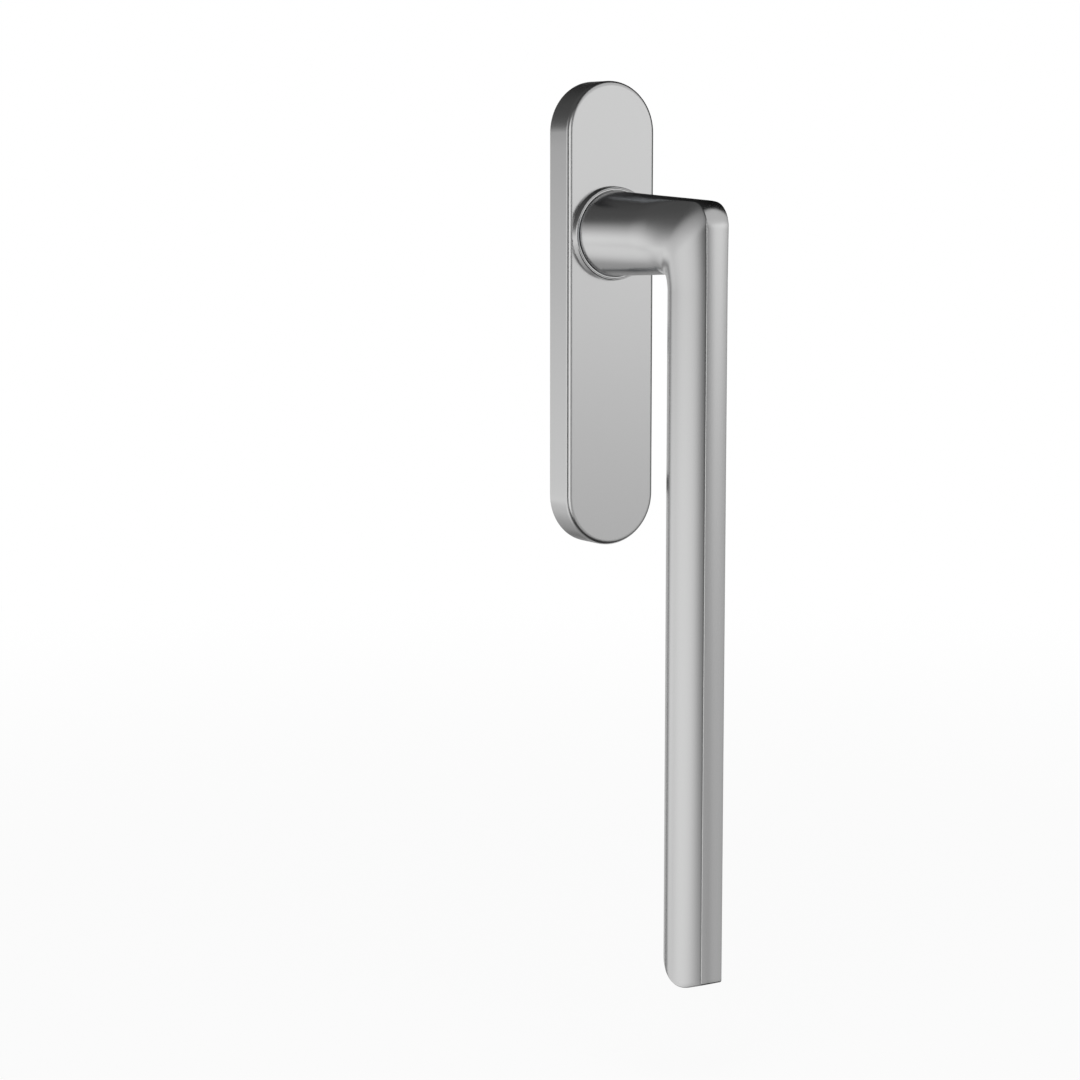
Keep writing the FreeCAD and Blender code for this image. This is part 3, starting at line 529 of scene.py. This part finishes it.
# %% [markdown]
# ## Finishes
# Each finish is a small tree of nodes, so one helper adds a node with its settings and links.
# Colours are written as they would be picked from a screen and turned to the linear values
# that light is worked out in.

# %% Colour and node helpers
def linear(hex_code):
    """sRGB hex to linear RGBA: the usual curve, a short straight foot and then a power."""
    srgb = np.array([int(hex_code[i:i + 2], 16) for i in (1, 3, 5)]) / 255
    straight_foot = srgb / 12.92
    power = ((srgb + 0.055) / 1.055) ** 2.4
    return (*np.where(srgb <= 0.04045, straight_foot, power).tolist(), 1.0)


def add_node(tree, kind, settings=None, inputs=None):
    """Add a node, set its properties, and set or link its inputs."""
    node = tree.nodes.new(kind)
    for key, setting in (settings or {}).items():
        setattr(node, key, setting)
    for key, source in (inputs or {}).items():
        if isinstance(source, bpy.types.NodeSocket):
            tree.links.new(source, node.inputs[key])
        else:
            node.inputs[key].default_value = source
    return node


def empty_material(name):
    """A material without nodes, and its tree."""
    material = bpy.data.materials.new(name)
    material.use_nodes = True
    material.node_tree.nodes.clear()
    return material, material.node_tree


print(f"the screen's grey #C8C8C8 is {linear('#C8C8C8')[0]:.3f} in linear light")

# %% [markdown]
# Satin stainless steel is ground with a fine belt and then softened, which leaves short
# scratches all one way. They are much finer than a pixel, so the grain here is drawn a quarter
# of a millimetre wide and many times as long. It moves the roughness and the slope a little,
# and the colour hardly at all. The spindle and the screws are zinc plated steel, which is a
# little bluish and duller. The springs have a phosphate coat, which is dark and dull. Both use
# the same nodes, with grain that is as long as it is wide.

# %% Ground metal, with its grain along the handle
def ground_metal(name, colour, roughness, grain_mm, streak_mm, depth_mm, uneven=0.05):
    """Metal between two shades, with grain of a width, a length and a height in millimetres."""
    material, tree = empty_material(name)
    place = add_node(tree, "ShaderNodeTexCoord")
    stretched = add_node(tree, "ShaderNodeMapping", {"vector_type": "POINT"}, {
        "Vector": place.outputs["Object"],
        "Scale": (1 / (grain_mm * MM), 1 / (grain_mm * MM), 1 / (streak_mm * MM)),
    })
    grain = add_node(tree, "ShaderNodeTexNoise", None, {
        "Vector": stretched.outputs["Vector"], "Scale": 1.0, "Detail": 3.0, "Roughness": 0.6,
    })
    shade = add_node(tree, "ShaderNodeMapRange", None, {
        "Value": grain.outputs["Fac"], "To Min": roughness - uneven, "To Max": roughness + uneven,
    })
    tone = add_node(tree, "ShaderNodeMix", {"data_type": "RGBA"}, {
        "Factor": grain.outputs["Fac"],
        "A": linear(colour[0]),
        "B": linear(colour[1]),
    })
    relief = add_node(tree, "ShaderNodeBump", None, {
        "Height": grain.outputs["Fac"], "Distance": depth_mm * MM, "Strength": 1.0,
    })
    surface = add_node(tree, "ShaderNodeBsdfPrincipled", None, {
        "Base Color": tone.outputs["Result"],
        "Metallic": 1.0,
        "Roughness": shade.outputs["Result"],
        "Normal": relief.outputs["Normal"],
    })
    add_node(tree, "ShaderNodeOutputMaterial", None, {"Surface": surface.outputs["BSDF"]})
    return material


satin_plate = ground_metal(
    "satin_stainless_plate", ("#C7C7C7", "#CDCDCD"),
    roughness=0.26, grain_mm=0.25, streak_mm=20, depth_mm=0.0001, uneven=0.02,
)
satin_lever = ground_metal(
    "satin_stainless_lever", ("#C8C8C8", "#CCCCCC"),
    roughness=0.25, grain_mm=0.25, streak_mm=14, depth_mm=0.0001, uneven=0.02,
)
plated = ground_metal(
    "zinc_plated_steel", ("#A8ACB0", "#BCC0C4"),
    roughness=0.35, grain_mm=0.8, streak_mm=0.8, depth_mm=0.002,
)
sprung = ground_metal(
    "phosphated_spring_steel", ("#4A4A4C", "#5C5C5E"),
    roughness=0.5, grain_mm=0.6, streak_mm=0.6, depth_mm=0.002,
)
print("ground:", satin_plate.name, satin_lever.name, "not ground:", plated.name, sprung.name)

# %% [markdown]
# The carrier under the cover is a zinc die-casting: grey, dull and slightly pitted. The
# bushes are moulded acetal, black and waxy.

# %% Cast and moulded finishes
def speckled(name, colour, metallic, roughness, speck_mm, depth_mm):
    """A finish between two shades, with specks of a size and a height in millimetres."""
    material, tree = empty_material(name)
    place = add_node(tree, "ShaderNodeTexCoord")
    specks = add_node(tree, "ShaderNodeTexNoise", None, {
        "Vector": place.outputs["Object"], "Scale": 1 / (speck_mm * MM), "Detail": 4.0,
    })
    tone = add_node(tree, "ShaderNodeMix", {"data_type": "RGBA"}, {
        "Factor": specks.outputs["Fac"], "A": linear(colour[0]), "B": linear(colour[1]),
    })
    relief = add_node(tree, "ShaderNodeBump", None, {
        "Height": specks.outputs["Fac"], "Distance": depth_mm * MM,
    })
    surface = add_node(tree, "ShaderNodeBsdfPrincipled", None, {
        "Base Color": tone.outputs["Result"],
        "Metallic": metallic,
        "Roughness": roughness,
        "Normal": relief.outputs["Normal"],
    })
    add_node(tree, "ShaderNodeOutputMaterial", None, {"Surface": surface.outputs["BSDF"]})
    return material


cast_zinc = speckled(
    "zinc_die_casting", ("#8C8C8C", "#A0A0A0"),
    metallic=1.0, roughness=0.5, speck_mm=0.7, depth_mm=0.02,
)
acetal = speckled(
    "black_acetal", ("#161616", "#1E1E1E"),
    metallic=0.0, roughness=0.45, speck_mm=1.5, depth_mm=0.004,
)
print("cast:", cast_zinc.name, "moulded:", acetal.name)

# %% [markdown]
# The three fine surfaces take the place of their nodes and ride on the bodies that carry those.
# What lies inside keeps its own mesh from the construction model and only gets its finish.

# %% Give each piece its finish, its body and the node that it stands for
def dress(piece, material, slot, body, *nodes):
    """Finish a piece, let it ride on its body, and let it stand for its nodes."""
    piece.data.materials.clear()
    piece.data.materials.append(material)
    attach(piece, body)
    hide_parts(*nodes)


dress(lever, satin_lever, "satin_steel", "handle", "lever")
dress(cover, satin_plate, "satin_steel", "plate", "cover_plate")
dress(collar, satin_plate, "satin_steel", "plate", "guide_ring")

# The photograph's satin metal mirrors neither the lever nor the cover, so mirror rays pass
# through them here, and through the carrier behind the cover. The collar is still mirrored,
# which keeps the gap round the neck dark.
for piece in (lever, cover, frame["nodes"]["base_plate"]):
    piece.visible_glossy = False

finish_of_slot = {
    "satin_steel": satin_plate,
    "die_cast": cast_zinc,
    "bush_plastic": acetal,
    "plated_steel": plated,
    "spring_steel": sprung,
}
for row in frame["record"]["subparts"]:
    node = frame["nodes"][row["node"]]
    node.data.materials.clear()
    node.data.materials.append(finish_of_slot[row["material_slot"]])
    print(row["node"], "is", finish_of_slot[row["material_slot"]].name)

# %% [markdown]
# ## Studio
# Satin metal has no colour of its own to speak of: it shows the room. The room here is a dim
# floor that ends at a soft horizon under a dark ceiling, with soft lights standing round the
# object. Each light is a round lobe in the world's own colour, which falls off smoothly. Which
# part of the object a light lies on follows from the mirror rule: a surface's own direction
# gives the direction that it reflects to the camera. The lights were placed by that rule, and
# their strengths set until the metal was as light and dark as in the photograph. The camera
# itself sees plain white behind the object, and the metal doesn't, or it would be white too.

# %% World: directions, soft steps and soft lights
def compass(azimuth, elevation):
    """A direction, where azimuth 0 is in front of the handle and 90 is to its left."""
    a, e = math.radians(azimuth), math.radians(elevation)
    return (-math.sin(a) * math.cos(e), -math.cos(a) * math.cos(e), math.sin(e))


world = bpy.data.worlds.new("studio")
scene.world = world
world.use_nodes = True
sky = world.node_tree
sky.nodes.clear()
toward = add_node(sky, "ShaderNodeTexCoord").outputs["Generated"]


def faded(direction, start, end, before, after):
    """From one value to another, smoothly, as the ray's share along a direction grows."""
    share = add_node(sky, "ShaderNodeVectorMath", {"operation": "DOT_PRODUCT"}, {
        0: toward, 1: direction,
    })
    return add_node(sky, "ShaderNodeMapRange", {"interpolation_type": "SMOOTHSTEP"}, {
        "Value": share.outputs["Value"],
        "From Min": start, "From Max": end, "To Min": before, "To Max": after,
    }).outputs["Result"]


def softbox(azimuth, elevation, core, rim, strength):
    """Full light within the core's angle, none beyond the rim's."""
    return faded(
        compass(azimuth, elevation), math.cos(math.radians(rim)), math.cos(math.radians(core)),
        0.0, strength,
    )


def combined(operation, first, second):
    """Two values of the world's light, added or multiplied."""
    return add_node(sky, "ShaderNodeMath", {"operation": operation}, {
        0: first, 1: second,
    }).outputs[0]


print("azimuth 90, 30 degrees up, is", [round(part, 3) for part in compass(90, 30)])

# %% World: floor, ceiling and lights
CEILING = 0.005
FLOOR = 0.165
NADIR = 0.22
# The floor leans a little: it fades out between two shares along its upward direction, and
# darkens between two others, straight below. Its bright part lies at the left.
FLOOR_UP = (0.113, 0.189, 1.0)
HORIZON = (-0.15, 0.50)
UNDERFOOT = (-0.85, -0.45)
FLOOR_GLOW = (122, -25, 17, 42, 0.52)
LIGHTS = [  # azimuth, elevation, core, rim, strength, and what shows it
    (-37, 32, 33, 38, 0.72),  # the large window in front: the cover, the facet's top
    (-23, -1, 2, 12, 0.42),  # the window's lower edge: the middle of the cover
    (-48, -12, 14, 27, 0.45),  # under the window: the cover's lower half, the facet
    (-6, -22, 4, 24, 0.45),  # low in front: the facet beside the left ridge
    (40, -6, 21, 29, 1.08),  # front left: bright lines on the ridges and the cover's edge
    (118, -1, 15, 26, 0.35),  # left: the flank's broad band of light
    (151, -7, 2, 14, 0.60),  # behind left: the cover's side wall
    (193, -2, 20, 23, 0.53),  # behind: the far edge of the grip's back
    (110, 18, 3, 100, 0.10),  # wide and weak: keeps the neck's top from going black
    (148, -55, 35, 39, 0.29),  # floor behind: undersides and the heel of the tip
    (228, -40, 6, 28, 0.60),  # low behind: the carrier's back
]
# A dark screen at the left draws the thin dark line beside the cover's bright edge
SCREEN = (78, -3)
SCREEN_CORE, SCREEN_RIM = 9, 20
SCREEN_SHARE = 0.02

floor_light = combined("ADD", softbox(*FLOOR_GLOW), FLOOR)
floor_light = combined("MULTIPLY", floor_light, faded(FLOOR_UP, *HORIZON, 1.0, 0.0))
light = combined("MULTIPLY", floor_light, faded(FLOOR_UP, *UNDERFOOT, NADIR, 1.0))
for one_light in LIGHTS:
    light = combined("ADD", light, softbox(*one_light))
screen = faded(
    compass(*SCREEN), math.cos(math.radians(SCREEN_RIM)), math.cos(math.radians(SCREEN_CORE)),
    1.0, SCREEN_SHARE,
)
light = combined("MULTIPLY", light, screen)
light = combined("ADD", light, CEILING)
print(f"{len(LIGHTS)} soft lights stand round the object")
rays = add_node(sky, "ShaderNodeLightPath")
room = add_node(sky, "ShaderNodeBackground", None, {"Color": light, "Strength": 1.0})
seen = add_node(sky, "ShaderNodeBackground", None, {"Color": (1, 1, 1, 1), "Strength": 1.0})
either = add_node(sky, "ShaderNodeMixShader", None, {
    0: rays.outputs["Is Camera Ray"],
    1: room.outputs["Background"],
    2: seen.outputs["Background"],
})
add_node(sky, "ShaderNodeOutputWorld", None, {"Surface": either.outputs["Shader"]})

# %% [markdown]
# The floor lies a little below the tip. It is pale, keeps a soft shadow, and is shown nearly
# white to the camera, as the background behind it is. A soft lamp overhead lights it, and
# whatever is not metal.

# %% Floor
FLOOR_BELOW = 40.0
FLOOR_HALF = 6.0
GLOW_NEAR = (0.35, 0.93)
GLOW_FAR = (1.2, 1.0)
floor_height = lever_low[2] * MM - FLOOR_BELOW * MM
floor_mesh = bpy.data.meshes.new("studio_floor")
corners = [
    (across * FLOOR_HALF, along * FLOOR_HALF, floor_height)
    for across, along in ((-1, -1), (1, -1), (1, 1), (-1, 1))
]
floor_mesh.from_pydata(corners, [], [(0, 1, 2, 3)])
floor = bpy.data.objects.new("studio_floor", floor_mesh)
scene.collection.objects.link(floor)
floor.visible_glossy = False
paper, tree = empty_material("white_paper")
matt = add_node(tree, "ShaderNodeBsdfDiffuse", None, {"Color": linear("#F2F2F2")})
glow = add_node(tree, "ShaderNodeEmission", None, {"Color": (1, 1, 1, 1), "Strength": 1.0})
rays = add_node(tree, "ShaderNodeLightPath")
place = add_node(tree, "ShaderNodeTexCoord")
away = add_node(tree, "ShaderNodeVectorMath", {"operation": "LENGTH"}, {
    0: place.outputs["Object"],
})
lit = add_node(tree, "ShaderNodeMapRange", {"interpolation_type": "SMOOTHSTEP"}, {
    "Value": away.outputs["Value"],
    "From Min": GLOW_NEAR[0], "From Max": GLOW_FAR[0],
    "To Min": GLOW_NEAR[1], "To Max": GLOW_FAR[1],
})
share_of_glow = add_node(tree, "ShaderNodeMath", {"operation": "MULTIPLY"}, {
    0: rays.outputs["Is Camera Ray"], 1: lit.outputs["Result"],
})
mix = add_node(tree, "ShaderNodeMixShader", None, {
    0: share_of_glow.outputs[0], 1: matt.outputs["BSDF"], 2: glow.outputs["Emission"],
})
add_node(tree, "ShaderNodeOutputMaterial", None, {"Surface": mix.outputs["Shader"]})
floor_mesh.materials.append(paper)
print(f"the floor lies at {floor_height:.3f} m")

# %% The lamp overhead
LAMP_SIZE = 1.6
LAMP_WATTS = 22
LAMP_PLACE = (-0.5, -0.9, 1.6)
LAMP_TILT = (30, -16, 0)
lamp_data = bpy.data.lights.new("overhead_softbox", "AREA")
lamp_data.shape = "DISK"
lamp_data.size = LAMP_SIZE
lamp_data.energy = LAMP_WATTS
lamp = bpy.data.objects.new("overhead_softbox", lamp_data)
lamp.location = LAMP_PLACE
lamp.rotation_euler = [math.radians(tilt) for tilt in LAMP_TILT]
lamp.visible_glossy = False
scene.collection.objects.link(lamp)
print(f"the lamp hangs {LAMP_PLACE[2] - floor_height:.2f} m above the floor")

# %% [markdown]
# ## Camera
# The photograph was taken from the left and slightly above, about a metre away with a long
# lens. These values came from fitting the plate's outline and the grip's long edges. The camera
# tilts down a little instead of shifting its lens, so that views from other sides stay centred.

# %% Camera
CAMERA_PLACE = (-0.5517, -0.8737, 0.0211)
CAMERA_TURN = 31.16
CAMERA_DROP = 7.59
CAMERA_LENS = 91
camera_data = bpy.data.cameras.new("camera")
camera_data.lens = CAMERA_LENS
camera_data.sensor_width = 36
camera = bpy.data.objects.new("camera", camera_data)
camera.location = CAMERA_PLACE
camera.rotation_euler = (math.radians(90 - CAMERA_DROP), 0, math.radians(-CAMERA_TURN))
scene.collection.objects.link(camera)
scene.camera = camera
print(f"the camera stands {math.dist(CAMERA_PLACE, (0, 0, 0)):.2f} m from the spindle's axis")
scene.view_settings.view_transform = "Standard"
